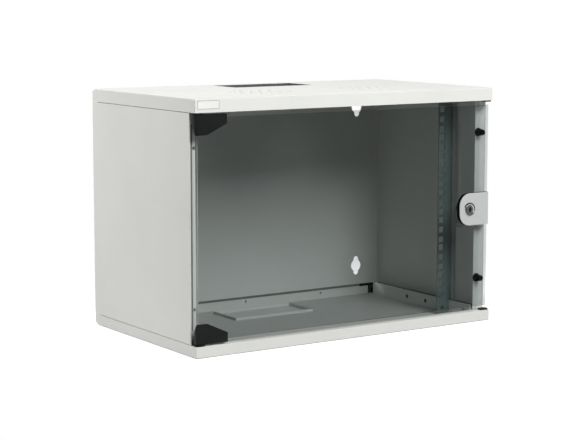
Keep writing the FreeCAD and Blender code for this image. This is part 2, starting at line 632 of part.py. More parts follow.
def make_bush(name, hand, fold):
    """A plastic bush in the front shelf, with a collar that the hinge rides on."""
    body = new_body(name, hand + PIVOT_X, PIVOT_Y, "base_lip" if fold > 0 else LIP_TOP)
    add(body, "XY_Plane", span("0", "bush_height", fold), "bush_height",
        [block("- bush_width / 2", "- bush_depth / 2", "bush_width / 2", "bush_depth / 2")])
    round_edges(body, "bush_corner",
                lambda a, b: same(a.x, b.x) and same(a.y, b.y))
    add(body, "XY_Plane", span("- bush_stem_length", "0", fold), "bush_stem_length",
        [disc("0", "0", "bush_stem")])
    whole = "( bush_height + bush_stem_length )"
    cut(body, "XY_Plane", span("- bush_stem_length", "bush_height", fold), whole,
        [disc("0", "0", "pin_diameter + 2 * pin_play")])
    return body


for hand_name, hand in (("left", "- "), ("right", "")):
    make_bush("pivot_bush_lower_" + hand_name, hand, 1)
    make_bush("pivot_bush_upper_" + hand_name, hand, -1)

for level_name, level in (("lower", "buffer_low"), ("upper", BUFFER_HIGH)):
    buffer = new_body("door_buffer_" + level_name,
                      "( cabinet_width / 2 - buffer_inset )", POST_FACE, level)
    add(buffer, "XZ_Plane", "0", "buffer_stem_length", [disc("0", "0", "buffer_stem")])
    cone = buffer.newObject("PartDesign::AdditiveCone", "buffer_cone")
    plane = [item for item in buffer.Origin.OriginFeatures if item.Role == "XZ_Plane"][0]
    cone.AttachmentSupport = [(plane, "")]
    cone.MapMode = "FlatFace"
    cone.setExpression("Radius1", bound("buffer_base / 2"))
    cone.setExpression("Radius2", bound("buffer_tip / 2"))
    cone.setExpression("Height", bound("front_shelf + post_recess - glass_setback - glass_gauge"
                                       " - hinge_gap"))
    doc.recompute()

# a blank label on the front lip of the roof
label = new_body("blank_label")
add(label, "XZ_Plane", FRONT + " - label_gauge", "label_gauge",
    [block("- " + HALF_WIDTH + " + label_inset", "cabinet_height - label_drop - label_height",
           "- " + HALF_WIDTH + " + label_inset + label_width", "cabinet_height - label_drop")])

# ------------------------------------------------------------ glass door

glass = new_body("glass_pane")
glass_low = "( base_lip + " + GLASS_LIFT + " )"
glass_high = "( cabinet_height - top_lip - " + GLASS_LIFT + " )"
add(glass, "XZ_Plane", GLASS_FRONT, "glass_gauge",
    [block("- " + GLASS_EDGE, glass_low, GLASS_EDGE, glass_high)])
round_edges(glass, "glass_corner", lambda a, b: same(a.x, b.x) and same(a.z, b.z))
cut(glass, "XZ_Plane", GLASS_FRONT, "glass_gauge",
    [disc(LOCK_X, "lock_height", "barrel_diameter + 2 * barrel_glass_gap")])


def make_hinge(level_name, fold):
    """A clamping shoe on a corner of the glass, with its pivot pin.

    Each piece is placed at the pivot, on the face of the shelf.
    """
    seat = "base_lip" if fold > 0 else LIP_TOP
    where = ("- " + PIVOT_X, PIVOT_Y, seat)
    prefix = "hinge_" + level_name

    shell = new_body(prefix + "_shell", *where)
    top = "( " + SHELL_LIFT + " + shell_rise )"
    add(shell, "XZ_Plane", "- shell_front", "( shell_front + shell_back )",
        [outline([("- shell_end", up(SHELL_LIFT, fold)),
                  ("shell_reach", up(SHELL_LIFT, fold)),
                  ("shell_reach", up(SHELL_LIFT + " + shell_tip_rise", fold)),
                  ("shell_flat", up(top, fold)),
                  ("- shell_end", up(top, fold))])])
    end_x = -sheet.shell_end
    face_y = -sheet.shell_front
    round_edges(shell, "shell_round",
                lambda a, b: same(a.x, end_x) and same(b.x, end_x) and same(a.y, b.y))
    round_edges(shell, "shell_edge",
                lambda a, b: same(a.y, face_y) and same(b.y, face_y))
    slot_front = "- shell_front + shell_wall_front"
    slot_depth = "( shell_front - shell_wall_front + shell_back - shell_wall_back )"
    cut(shell, "XZ_Plane", slot_front, slot_depth,
        [block("- shell_end + shell_wall_end", up(WEB_TOP, fold),
               "shell_reach + shell_wall_end", up(top + " + shell_web", fold))])
    # the shoe is thick at the pivot and slopes away to its front wall
    beyond = "shell_back + shell_wall_back"
    low_edge = up(SHELL_LIFT + " + shell_back_rise", fold)
    high_edge = up(top + " + shell_web", fold)
    cut(shell, "YZ_Plane", "- shell_end - shell_wall_end",
        "( shell_end + shell_reach + 2 * shell_wall_end )",
        [outline([(slot_front, up(top, fold)), ("shell_back", low_edge),
                  (beyond, low_edge), (beyond, high_edge), (slot_front, high_edge)])])
    cut(shell, "XY_Plane", span(SHELL_LIFT, WEB_TOP, fold), "shell_web",
        [disc("0", "0", "pin_diameter + 2 * thread_gap")])
    cut(shell, "XY_Plane", span(WEB_TOP + " - pin_head_height", WEB_TOP, fold), "pin_head_height",
        [disc("0", "0", "pin_head + 2 * thread_gap")])
    grub_level = up(SHELL_LIFT + " + grub_height", fold)
    grubs = ("grub_near", "grub_far")
    cut(shell, "XZ_Plane", "shell_back - shell_wall_back", "shell_wall_back",
        [disc(place, grub_level, "grub_diameter + 2 * thread_gap") for place in grubs])

    gasket = new_body(prefix + "_gasket", *where)
    outer_y = "( glass_gauge / 2 + gasket_gauge )"
    inner_y = "( glass_gauge / 2 )"
    gasket_top = up(WEB_TOP + " + gasket_rise", fold)
    add(gasket, "YZ_Plane", "- gasket_start", "( gasket_start + gasket_end )",
        [outline([("- " + outer_y, up(WEB_TOP, fold)), (outer_y, up(WEB_TOP, fold)),
                  (outer_y, gasket_top), (inner_y, gasket_top),
                  (inner_y, up(GLASS_LIFT, fold)), ("- " + inner_y, up(GLASS_LIFT, fold)),
                  ("- " + inner_y, gasket_top), ("- " + outer_y, gasket_top)])])

    plate = new_body(prefix + "_plate", *where)
    add(plate, "XZ_Plane", outer_y, "plate_gauge",
        [block("- gasket_start", up(WEB_TOP + " + plate_lift", fold), "gasket_end", gasket_top)])

    screws = new_body(prefix + "_grub_screws", *where)
    add(screws, "XZ_Plane", outer_y + " + plate_gauge",
        "( shell_back - glass_gauge / 2 - gasket_gauge - plate_gauge + grub_proud )",
        [disc(place, grub_level, "grub_diameter") for place in grubs])

    pin = new_body(prefix + "_pin", *where)
    add(pin, "XY_Plane", span("- pin_reach", WEB_TOP, fold), "( pin_reach + " + WEB_TOP + " )",
        [disc("0", "0", "pin_diameter")])
    add(pin, "XY_Plane", span(WEB_TOP + " - pin_head_height", WEB_TOP, fold), "pin_head_height",
        [disc("0", "0", "pin_head")])


make_hinge("lower", 1)
make_hinge("upper", -1)

# ------------------------------------------------------------------ lock

lock_place = (LOCK_X, LEAF_FRONT, "lock_height")
leaf_half = "leaf_height / 2"
round_end = -sheet.leaf_reach
leaf_end = sheet.lock_inset + sheet.lock_gasket_gauge + sheet.leaf_gauge

lock_plate = new_body("lock_plate", *lock_place)
add(lock_plate, "XZ_Plane", "0", LEAF_DEPTH,
    [block("- leaf_reach", "- " + leaf_half, LEAF_END, leaf_half)])
round_edges(lock_plate, "leaf_round",
            lambda a, b: same(a.x, round_end) and same(b.x, round_end) and same(a.z, b.z))
round_edges(lock_plate, "leaf_corner",
            lambda a, b: all(same(p.x, leaf_end) and same(p.y, 0) for p in (a, b)))
cut(lock_plate, "XZ_Plane", "leaf_gauge", "( glass_gauge + 2 * lock_gasket_gauge )",
    [block("- leaf_reach - leaf_gauge", "- " + leaf_half + " - leaf_gauge",
           "lock_inset + lock_gasket_gauge", leaf_half + " + leaf_gauge")])
cut(lock_plate, "XZ_Plane", "0", LEAF_DEPTH,
    [disc("0", "0", "barrel_diameter + 2 * barrel_hole_gap")])

lock_gasket = new_body("lock_gasket", *lock_place)
add(lock_gasket, "XZ_Plane", "leaf_gauge", "( glass_gauge + 2 * lock_gasket_gauge )",
    [block("- leaf_reach", "- " + leaf_half, "lock_inset + lock_gasket_gauge", leaf_half)])
round_edges(lock_gasket, "leaf_round",
            lambda a, b: same(a.x, round_end) and same(b.x, round_end) and same(a.z, b.z))
cut(lock_gasket, "XZ_Plane", "leaf_gauge + lock_gasket_gauge", "glass_gauge",
    [block("- leaf_reach - leaf_gauge", "- " + leaf_half + " - leaf_gauge",
           "lock_inset", leaf_half + " + leaf_gauge")])
cut(lock_gasket, "XZ_Plane", "leaf_gauge", "( glass_gauge + 2 * lock_gasket_gauge )",
    [disc("0", "0", "barrel_diameter + 2 * barrel_hole_gap")])

barrel = new_body("lock_barrel", *lock_place)
add(barrel, "XZ_Plane", "- barrel_flange_height", "barrel_flange_height",
    [disc("0", "0", "barrel_flange")])
add(barrel, "XZ_Plane", "0", "barrel_length", [disc("0", "0", "barrel_diameter")])
cut(barrel, "XZ_Plane", "- barrel_flange_height", "( barrel_flange_height + barrel_length )",
    [disc("0", "0", "plug_diameter + 2 * plug_play")])

lock_nut = new_body("lock_nut", *lock_place)
add(lock_nut, "XZ_Plane", LEAF_DEPTH, "lock_nut_height", [hexagon("0", "0", "lock_nut_width")])
cut(lock_nut, "XZ_Plane", LEAF_DEPTH, "lock_nut_height",
    [disc("0", "0", "barrel_diameter + 2 * thread_gap")])

plug = new_body("lock_plug", *lock_place)
add(plug, "XZ_Plane", "- barrel_flange_height - plug_proud",
    "( barrel_flange_height + plug_proud + barrel_length )", [disc("0", "0", "plug_diameter")])
add(plug, "XZ_Plane", "barrel_length", "( cam_gap + cam_gauge )",
    [disc("0", "0", "tail_diameter")])
cut(plug, "XZ_Plane", "- barrel_flange_height - plug_proud", "keyway_depth",
    [block("- keyway_width / 2", "- keyway_height / 2", "keyway_width / 2", "keyway_height / 2")])
tail_end = "( barrel_length + cam_gap + cam_gauge )"
cut(plug, "XZ_Plane", tail_end + " - cam_screw_length", "cam_screw_length",
    [disc("0", "0", "cam_screw + 2 * thread_gap")])

cam = new_body("lock_cam", *lock_place)
add(cam, "XZ_Plane", "barrel_length + cam_gap", "cam_gauge",
    [block("- cam_width / 2", "- cam_reach", "cam_width / 2", "cam_width / 2")])
round_edges(cam, "cam_round", lambda a, b: same(a.x, b.x) and same(a.z, b.z))
cut(cam, "XZ_Plane", "barrel_length + cam_gap", "cam_gauge",
    [disc("0", "0", "tail_diameter + 2 * thread_gap")])

cam_screw = new_body("lock_cam_screw", *lock_place)
add(cam_screw, "XZ_Plane", tail_end + " - cam_screw_length", "cam_screw_length",
    [disc("0", "0", "cam_screw")])
add(cam_screw, "XZ_Plane", tail_end, "cam_screw_head_height", [disc("0", "0", "cam_screw_head")])

# ---------------------------------------------------------- check and write

doc.recompute()
for item in doc.Objects:
    if "Invalid" in item.State or "Error" in item.State:
        raise RuntimeError("%s did not recompute: %s" % (item.Label, item.State))

os.makedirs("parts", exist_ok=True)
for item in doc.Objects:
    if item.TypeId != "PartDesign::Body":
        continue
    shape = item.Shape
    if shape.isNull() or not shape.isValid() or shape.Volume <= 0:
        raise RuntimeError("bad shape: " + item.Label)
    shape.exportStep("parts/" + item.Label + ".step")
    print("%-28s %2d solids %10.1f mm3" % (item.Label, len(shape.Solids), shape.Volume))
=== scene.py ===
import json
import math
import bmesh
import bpy
from mathutils import Matrix, Vector

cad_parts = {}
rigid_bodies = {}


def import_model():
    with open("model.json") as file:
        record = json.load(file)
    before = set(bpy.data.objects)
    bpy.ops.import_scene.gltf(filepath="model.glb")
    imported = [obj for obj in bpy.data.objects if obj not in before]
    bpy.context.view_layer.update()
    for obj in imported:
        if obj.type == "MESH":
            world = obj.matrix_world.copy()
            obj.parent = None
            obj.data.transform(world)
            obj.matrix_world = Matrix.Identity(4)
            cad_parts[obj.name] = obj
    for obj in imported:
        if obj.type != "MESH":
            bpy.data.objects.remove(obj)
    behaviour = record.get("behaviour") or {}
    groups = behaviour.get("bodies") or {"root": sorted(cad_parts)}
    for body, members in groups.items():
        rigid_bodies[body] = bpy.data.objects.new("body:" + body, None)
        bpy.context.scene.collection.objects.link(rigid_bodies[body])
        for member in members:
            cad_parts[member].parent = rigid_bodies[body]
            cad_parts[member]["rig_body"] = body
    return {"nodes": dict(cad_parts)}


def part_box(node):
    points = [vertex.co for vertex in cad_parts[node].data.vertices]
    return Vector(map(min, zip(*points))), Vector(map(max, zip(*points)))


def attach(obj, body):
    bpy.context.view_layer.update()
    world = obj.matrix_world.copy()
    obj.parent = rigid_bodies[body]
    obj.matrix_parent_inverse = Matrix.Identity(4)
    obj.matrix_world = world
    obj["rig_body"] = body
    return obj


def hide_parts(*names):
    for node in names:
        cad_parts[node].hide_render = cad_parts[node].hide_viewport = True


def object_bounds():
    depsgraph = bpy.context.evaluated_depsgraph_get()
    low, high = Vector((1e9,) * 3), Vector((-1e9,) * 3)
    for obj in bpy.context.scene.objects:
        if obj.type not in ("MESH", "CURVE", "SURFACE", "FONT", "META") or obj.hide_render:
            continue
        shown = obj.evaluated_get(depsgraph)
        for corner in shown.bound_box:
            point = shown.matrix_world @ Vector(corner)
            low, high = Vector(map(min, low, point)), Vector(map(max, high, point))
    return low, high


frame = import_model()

MM = 0.001
CAD_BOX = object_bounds()
LOW, HIGH = Vector(CAD_BOX[0]), Vector(CAD_BOX[1])


# ------------------------------------------------------------------ materials

def colour(red, green, blue):
    """A display colour from 0 to 255 as the linear colour that shaders take."""
    linear = []
    for part in (red, green, blue):
        share = part / 255
        linear.append(share / 12.92 if share < 0.04045 else ((share + 0.055) / 1.055) ** 2.4)
    return (*linear, 1.0)


class Finish:
    """A node material with a Principled shader and helpers for its patterns."""

    def __init__(self, name):
        self.material = bpy.data.materials.new(name)
        self.material.use_nodes = True
        self.tree = self.material.node_tree
        self.shader = self.tree.nodes["Principled BSDF"]
        self.output = self.tree.nodes["Material Output"]
        self.place = self.add("ShaderNodeTexCoord").outputs["Object"]

    def add(self, kind, **settings):
        node = self.tree.nodes.new(kind)
        for key, value in settings.items():
            setattr(node, key, value)
        return node

    def join(self, source, target):
        self.tree.links.new(source, target)

    def set(self, **values):
        for key, value in values.items():
            socket = key.replace("_", " ").title().replace("Ior", "IOR")
            self.shader.inputs[socket].default_value = value

    def noise(self, scale, detail):
        """A cloudy noise over the object's own coordinates, per metre."""
        node = self.add("ShaderNodeTexNoise")
        node.inputs["Scale"].default_value = scale
        node.inputs["Detail"].default_value = detail
        self.join(self.place, node.inputs["Vector"])
        return node.outputs[0]

    def spangle(self, scale, detail):
        """The grain pattern of plated sheet, per metre."""
        node = self.add("ShaderNodeTexVoronoi")
        node.inputs["Scale"].default_value = scale
        node.inputs["Detail"].default_value = detail
        self.join(self.place, node.inputs["Vector"])
        return node.outputs["Distance"]

    def ramp(self, value, low, high, start, end):
        """Colours or greys spread over a pattern's values."""
        node = self.add("ShaderNodeValToRGB")
        for stop, place, shade in zip(node.color_ramp.elements, (start, end), (low, high)):
            stop.position = place
            stop.color = shade if isinstance(shade, tuple) else (shade, shade, shade, 1.0)
        self.join(value, node.inputs["Fac"])
        return node.outputs["Color"]

    def tint(self, value, low, high, start=0.35, end=0.65):
        """The base colour varies from one colour to another."""
        self.join(self.ramp(value, low, high, start, end), self.shader.inputs["Base Color"])

    def gloss(self, value, low, high):
        """The roughness varies from one value to another."""
        self.join(self.ramp(value, low, high, 0.35, 0.65), self.shader.inputs["Roughness"])

    def relief(self, height, strength, distance):
        """Bump from a pattern, with its depth in metres."""
        bump = self.add("ShaderNodeBump")
        bump.inputs["Strength"].default_value = strength
        bump.inputs["Distance"].default_value = distance
        self.join(height, bump.inputs["Height"])
        self.join(bump.outputs["Normal"], self.shader.inputs["Normal"])


def powder_coat(name, shade, darker):
    """Baked powder coat: an even pale grey with a fine orange peel."""
    coat = Finish(name)
    coat.set(ior=1.5, specular_ior_level=0.36)
    coat.tint(coat.noise(9.0, 3.0), darker, shade, 0.3, 0.7)
    coat.gloss(coat.noise(60.0, 2.0), 0.40, 0.48)
    coat.relief(coat.noise(950.0, 1.5), 0.12, 0.0001)
    return coat.material


def dark_steel(name, shade, darker):
    """Dull dark zinc plating, with the faint spangle of plated sheet."""
    steel = Finish(name)
    steel.set(metallic=0.35, ior=1.5)
    steel.tint(steel.spangle(170.0, 1.0), darker, shade, 0.2, 0.8)
    steel.gloss(steel.noise(320.0, 2.0), 0.42, 0.56)
    steel.relief(steel.noise(700.0, 2.0), 0.10, 0.0001)
    return steel.material


def bright_zinc(name):
    """Bright zinc of screws and nuts, with turning marks."""
    zinc = Finish(name)
    zinc.set(metallic=1.0)
    zinc.tint(zinc.noise(260.0, 2.0), colour(150, 153, 158), colour(178, 180, 182))
    zinc.gloss(zinc.noise(900.0, 2.0), 0.24, 0.38)
    zinc.relief(zinc.noise(2400.0, 1.0), 0.08, 0.00005)
    return zinc.material


def moulded_plastic(name, shade, lighter):
    """Moulded plastic with the fine grain of an etched mould."""
    plastic = Finish(name)
    plastic.set(ior=1.46, specular_ior_level=0.14)
    plastic.tint(plastic.noise(40.0, 3.0), shade, lighter)
    plastic.gloss(plastic.noise(500.0, 2.0), 0.44, 0.58)
    plastic.relief(plastic.noise(1500.0, 2.0), 0.18, 0.0001)
    return plastic.material


def rubber(name):
    """Soft black rubber, dull, with a faint bloom."""
    soft = Finish(name)
    soft.set(ior=1.45, specular_ior_level=0.12)
    soft.tint(soft.noise(120.0, 3.0), colour(10, 11, 11), colour(20, 20, 21))
    soft.gloss(soft.noise(300.0, 2.0), 0.62, 0.80)
    soft.relief(soft.noise(1100.0, 2.0), 0.15, 0.0001)
    return soft.material


def lacquer(name):
    """Silver lacquer of the lock plate, with fine metal flakes."""
    silver = Finish(name)
    silver.set(metallic=0.25, ior=1.5)
    silver.tint(silver.noise(2600.0, 1.0), colour(172, 174, 174), colour(188, 190, 190))
    silver.gloss(silver.noise(400.0, 2.0), 0.34, 0.44)
    silver.relief(silver.noise(1800.0, 1.5), 0.08, 0.0001)
    return silver.material


def chrome(name, shade, rough_low, rough_high):
    """Plated die casting, polished and faintly worn."""
    wear = 14
    plated = Finish(name)
    plated.set(metallic=1.0)
    plated.tint(plated.noise(180.0, 2.0), colour(*[part - wear for part in shade]), colour(*shade))
    plated.gloss(plated.noise(650.0, 3.0), rough_low, rough_high)
    plated.relief(plated.noise(900.0, 2.0), 0.05, 0.00005)
    return plated.material


def lets_light_in(glass, each_face):
    """Lamps and soft light reach what stands behind the glass."""
    clear = glass.add("ShaderNodeBsdfTransparent")
    clear.inputs["Color"].default_value = (*each_face, 1.0)
    path = glass.add("ShaderNodeLightPath")
    either = glass.add("ShaderNodeMath", operation="MAXIMUM")
    glass.join(path.outputs["Is Shadow Ray"], either.inputs[0])
    glass.join(path.outputs["Is Diffuse Ray"], either.inputs[1])
    mix = glass.add("ShaderNodeMixShader")
    glass.join(either.outputs[0], mix.inputs["Fac"])
    glass.join(glass.shader.outputs["BSDF"], mix.inputs[1])
    glass.join(clear.outputs["BSDF"], mix.inputs[2])
    glass.join(mix.outputs["Shader"], glass.output.inputs["Surface"])


def tinted_glass(name, through):
    """Toughened glass with a grey green tint."""
    glass = Finish(name)
    glass.set(transmission_weight=1.0, ior=1.12, roughness=0.0)
    glass.tint(glass.noise(4.0, 1.0), (*through, 1.0), (*[part * 1.01 for part in through], 1.0))
    lets_light_in(glass, [math.sqrt(part) for part in through])
    return glass.material


def ground_edge(name):
    """The ground edge of the glass, frosted and green from within."""
    edge = Finish(name)
    edge.set(transmission_weight=1.0, ior=1.06, specular_ior_level=0.1)
    edge.tint(edge.noise(300.0, 2.0), colour(206, 214, 210), colour(216, 222, 219))
    edge.gloss(edge.noise(1200.0, 2.0), 0.30, 0.45)
    return edge.material


def label_film(name):
    """Blank satin label film."""
    film = Finish(name)
    film.set(ior=1.45)
    film.tint(film.noise(30.0, 2.0), colour(210, 211, 208), colour(216, 217, 214))
    film.gloss(film.noise(700.0, 2.0), 0.30, 0.38)
    film.relief(film.noise(1500.0, 2.0), 0.05, 0.00005)
    return film.material


PAINT = powder_coat("painted_steel", colour(208, 209, 205), colour(204, 205, 201))
# A darker copy of the paint: painted shade for the bottom tray's floor.
FLOOR_SHADE_PAINT = powder_coat("floor_painted_shade", colour(181, 182, 179), colour(176, 177, 174))
# Painted light: a pale grey that lightens the lock side's corner.
PALE_LIGHT_STRIP = moulded_plastic("pale_painted_light", colour(232, 233, 231), colour(238, 239, 237))
RAIL = dark_steel("rail_steel", colour(110, 127, 125), colour(98, 115, 114))
ZINC = bright_zinc("zinc_steel")
DULL_ZINC = dark_steel("dull_zinc", colour(146, 151, 149), colour(138, 143, 141))
# Black plastic and black rubber are also painted shade in holes, corners, the keyway and on the
# lock's flange.
BLACK_AND_SHADE = moulded_plastic("black_plastic", colour(13, 14, 14), colour(19, 20, 20))
RUBBER_AND_SHADE = rubber("black_rubber")
# Painted shade: a dark grey for the edging in the roof's cable entry.
SHADE_EDGING = moulded_plastic("edging_painted_shade", colour(76, 77, 76), colour(88, 89, 88))
# Painted shade: a grey for the strips in the seams and in the hinge side's corner.
SHADE_GREY = moulded_plastic("painted_shade_grey", colour(112, 114, 113), colour(122, 124, 123))
GLASS = tinted_glass("glass", (0.605, 0.632, 0.632))
GLASS_RIM = ground_edge("glass_rim")
SILVER = lacquer("lock_paint")
CHROME = chrome("lock_chrome", (206, 207, 208), 0.14, 0.26)
# Dark chrome for the plug, and painted shade on the barrel's lower left.
DARK_CHROME_AND_SHADE = chrome("lock_core_chrome_and_painted_shade", (112, 113, 114), 0.22, 0.36)
LABEL = label_film("label")
LABEL_LINE = moulded_plastic("label_line", colour(72, 73, 72), colour(84, 85, 84))


# ----------------------------------------------------------------- mesh tools

SMOOTH_ANGLE = math.radians(38)
BEVEL_ANGLE = math.radians(32)
WELD = 2e-6
ROUND_STEPS = 36


def body_of(node):
    return frame["nodes"][node]["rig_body"]


def as_shown(piece):
    """A new mesh with the piece's modifiers applied."""
    bpy.context.view_layer.update()
    return bpy.data.meshes.new_from_object(
        piece.evaluated_get(bpy.context.evaluated_depsgraph_get()))


def settle(name, mesh, nodes, material, body=None):
    """A finished piece: its shading, its finish, its body and what it stands for.

    A piece that stands for no node has to be given its body.
    """
    piece = bpy.data.objects.new(name, mesh)
    bpy.context.scene.collection.objects.link(piece)
    if not mesh.materials:
        mesh.materials.append(material)
    mesh.shade_smooth()
    mesh.set_sharp_from_angle(angle=SMOOTH_ANGLE)
    weighted = piece.modifiers.new("weighted", "WEIGHTED_NORMAL")
    weighted.keep_sharp = True
    weighted.weight = 80
    final = as_shown(piece)
    piece.modifiers.clear()
    piece.data = final
    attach(piece, body or body_of(nodes[0]))
    if nodes:
        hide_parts(*nodes)
    return piece


def tidy_solid(node):
    """The node's solid as one welded mesh."""
    work = bmesh.new()
    work.from_mesh(frame["nodes"][node].data)
    bmesh.ops.remove_doubles(work, verts=work.verts, dist=WELD)
    return work


def to_mesh(work, name):
    mesh = bpy.data.meshes.new(name)
    work.to_mesh(mesh)
    work.free()
    return mesh


def soften(mesh, width, segments):
    """Rounds the edges between faces that meet at more than the bevel angle."""
    scratch = bpy.data.objects.new("scratch", mesh)
    bpy.context.scene.collection.objects.link(scratch)
    bevel = scratch.modifiers.new("edge", "BEVEL")
    bevel.width = width
    bevel.segments = segments
    bevel.limit_method = "ANGLE"
    bevel.angle_limit = BEVEL_ANGLE
    bevel.use_clamp_overlap = True
    bevel.miter_outer = "MITER_ARC"
    rounded = as_shown(scratch)
    bpy.data.objects.remove(scratch)
    return rounded


def solids_of(node):
    """The box of each separate solid of a node."""
    work = tidy_solid(node)
    left = set(work.verts)
    boxes = []
    while left:
        reached = [left.pop()]
        island = []
        while reached:
            here = reached.pop()
            island.append(here.co.copy())
            for edge in here.link_edges:
                other = edge.other_vert(here)
                if other in left:
                    left.discard(other)
                    reached.append(other)
        low = Vector([min(spot[axis] for spot in island) for axis in range(3)])
        high = Vector([max(spot[axis] for spot in island) for axis in range(3)])
        boxes.append((low, high))
    work.free()
    return boxes


def ring_of(work, distances, height, place):
    """A ring of points at the given distances round an axis."""
    count = len(distances)
    return [work.verts.new(place(reach * math.cos(2 * math.pi * step / count),
                                 reach * math.sin(2 * math.pi * step / count), height))
            for step, reach in enumerate(distances)]


def join_rings(work, lower, upper):
    """A band of four-sided faces between two rings of the same number of points."""
    for step in range(len(lower)):
        after = (step + 1) % len(lower)
        work.faces.new((lower[step], lower[after], upper[after], upper[step]))


def stack(work, rings, place):
    """Joins rings of the same number of points, each (distances, height), and caps the ends.

    A ring's distances run round the axis, and place puts (across, up, height) in space.
    """
    made = [ring_of(work, distances, height, place) for distances, height in rings]
    for lower, upper in zip(made, made[1:]):
        join_rings(work, lower, upper)
    work.faces.new(list(reversed(made[0])))
    work.faces.new(made[-1])
    bmesh.ops.recalc_face_normals(work, faces=work.faces)


def lathe(work, rings, place, count=ROUND_STEPS):
    """Turns a closed outline of (radius, height) round an axis."""
    made = [ring_of(work, circle(radius, count), height, place) for radius, height in rings]
    for lower, upper in zip(made, made[1:] + made[:1]):
        join_rings(work, lower, upper)
    bmesh.ops.recalc_face_normals(work, faces=work.faces)


def block(work, centre, size):
    """A box at a centre, added to the piece."""
    made = bmesh.ops.create_cube(work, size=1.0)["verts"]
    bmesh.ops.scale(work, vec=size, verts=made)
    bmesh.ops.translate(work, vec=centre, verts=made)


def circle(radius, count=ROUND_STEPS):
    """The same distance all round."""
    return [radius] * count


def hexagon(across):
    """Distances from the middle to a hexagon with flats the given width across."""
    turn = math.pi / 3
    return [across / 2 / math.cos((2 * math.pi * step / ROUND_STEPS) % turn - turn / 2)
            for step in range(ROUND_STEPS)]


def crossed(arm, width):
    """Distances from the middle to a cross with arms of a length and width."""
    reach = []
    for step in range(ROUND_STEPS):
        turn = 2 * math.pi * step / ROUND_STEPS
        near = min(abs(math.sin(turn)), abs(math.cos(turn)))
        far = max(abs(math.sin(turn)), abs(math.cos(turn)))
        inside = width / 2 / near if near > 1e-6 else arm
        reach.append(min(arm / far, max(inside, width / 2 / far)))
    return reach


def facing(centre, axis, sign=1):
    """Puts (across, up, height) at a centre, with heights along an axis."""
    def place(across, up, height):
        spot = [across, up]
        spot.insert(axis, sign * height)
        return Vector(centre) + Vector(spot)
    return place


def dress(node, material, width, segments=2):
    """A CAD solid with softly broken edges and its finish."""
    mesh = to_mesh(tidy_solid(node), node + "_finish")
    if width:
        mesh = soften(mesh, width, segments)
    mesh.materials.clear()
    return settle(node + "_finish", mesh, [node], material)


# ------------------------------------------------------------ enclosure

FOLD = 0.2 * MM
CUT_EDGE = 0.06 * MM
SLOT_HALF = 72.5 * MM
SLOT_FRONT = 55.8 * MM
SLOT_BACK = 123.8 * MM
REAR_LIP = 144.0 * MM
WALL_FACE = 268.8 * MM
SEAM_LEVEL = 17.6 * MM
# The next four size the grey strips of painted shade along the seams.
SHADE_STRIP_HALF = 266.0 * MM
SHADE_STRIP_GAUGE = 0.4 * MM
SHADE_STRIP_HEIGHT = 3.8 * MM
SHADE_STRIP_DEPTH = 281.0 * MM
BRACKET_LEG = 250.0 * MM
BRACKET_PITCH = 50.0 * MM
POST_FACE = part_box("door_buffer_upper")[1][1] - 3.0 * MM


def paint_floor_shade(tray):
    """The tray's flat floor gets a darker copy of the paint as painted shade, and its lips and
    collar keep theirs.
    """
    tray.data.materials.append(FLOOR_SHADE_PAINT)
    floor_top = LOW.z + 10 * MM
    for face in tray.data.polygons:
        if face.normal.z > 0.9 and face.center.z < floor_top:
            face.material_index = 1


dress("top_tray", PAINT, FOLD)
paint_floor_shade(dress("bottom_tray", PAINT, FOLD))
side_panels = {}
for hand in ("left", "right"):
    side_panels[hand] = dress("side_panel_" + hand, PAINT, FOLD)
    for level in ("lower", "upper"):
        dress("depth_bracket_%s_%s" % (level, hand), PAINT, CUT_EDGE, 1)
        dress("pivot_bush_%s_%s" % (level, hand), BLACK_AND_SHADE, 0.35 * MM, 3)
    dress("rack_rail_" + hand, RAIL, FOLD)
dress("rear_panel", PAINT, CUT_EDGE, 1)
dress("rail_nuts", ZINC, 0.4 * MM)


def rear_screws():
    """Domed screws with crossed recesses, through the rear panel's tabs."""
    head, shank = 2.4 * MM, 2.0 * MM
    work = bmesh.new()
    for low, high in solids_of("rear_panel_screws"):
        radius = (high.x - low.x) / 2
        base = high.y - head
        centre = ((low.x + high.x) / 2, base, (low.z + high.z) / 2)
        stack(work, [(circle(shank), low.y - base), (circle(shank), 0),
                     (circle(radius), 0), (circle(radius), 0.25 * head),
                     (circle(0.93 * radius), 0.55 * head), (circle(0.75 * radius), 0.85 * head),
                     (circle(0.62 * radius), 0.97 * head), (crossed(1.9 * MM, 0.9 * MM), head),
                     (crossed(1.7 * MM, 0.8 * MM), 0.45 * head)], facing(centre, 1))
    settle("rear_panel_screws_finish", to_mesh(work, "rear_panel_screws_finish"),
           ["rear_panel_screws"], ZINC)


def rail_screws():
    """Button heads with hexagon sockets, and the plain shanks behind them."""
    head, thread, socket = 3.5 * MM, 3.0 * MM, 4.0 * MM
    work = bmesh.new()
    for low, high in solids_of("rail_bolts"):
        side = 1 if low.x > 0 else -1
        seat = low.x + head if side > 0 else high.x - head
        centre = (seat, (low.y + high.y) / 2, (low.z + high.z) / 2)
        radius = (high.y - low.y) / 2
        shank = high.x - seat if side > 0 else seat - low.x
        stack(work, [(circle(thread), -shank), (circle(thread), 0),
                     (circle(radius), 0), (circle(radius), 0.9 * MM),
                     (circle(0.90 * radius), 2.0 * MM), (circle(0.72 * radius), 2.9 * MM),
                     (circle(0.55 * radius), 3.4 * MM), (hexagon(socket), head),
                     (hexagon(socket), 1.4 * MM)], facing(centre, 0, -side))
    settle("rail_bolts_finish", to_mesh(work, "rail_bolts_finish"), ["rail_bolts"], ZINC)


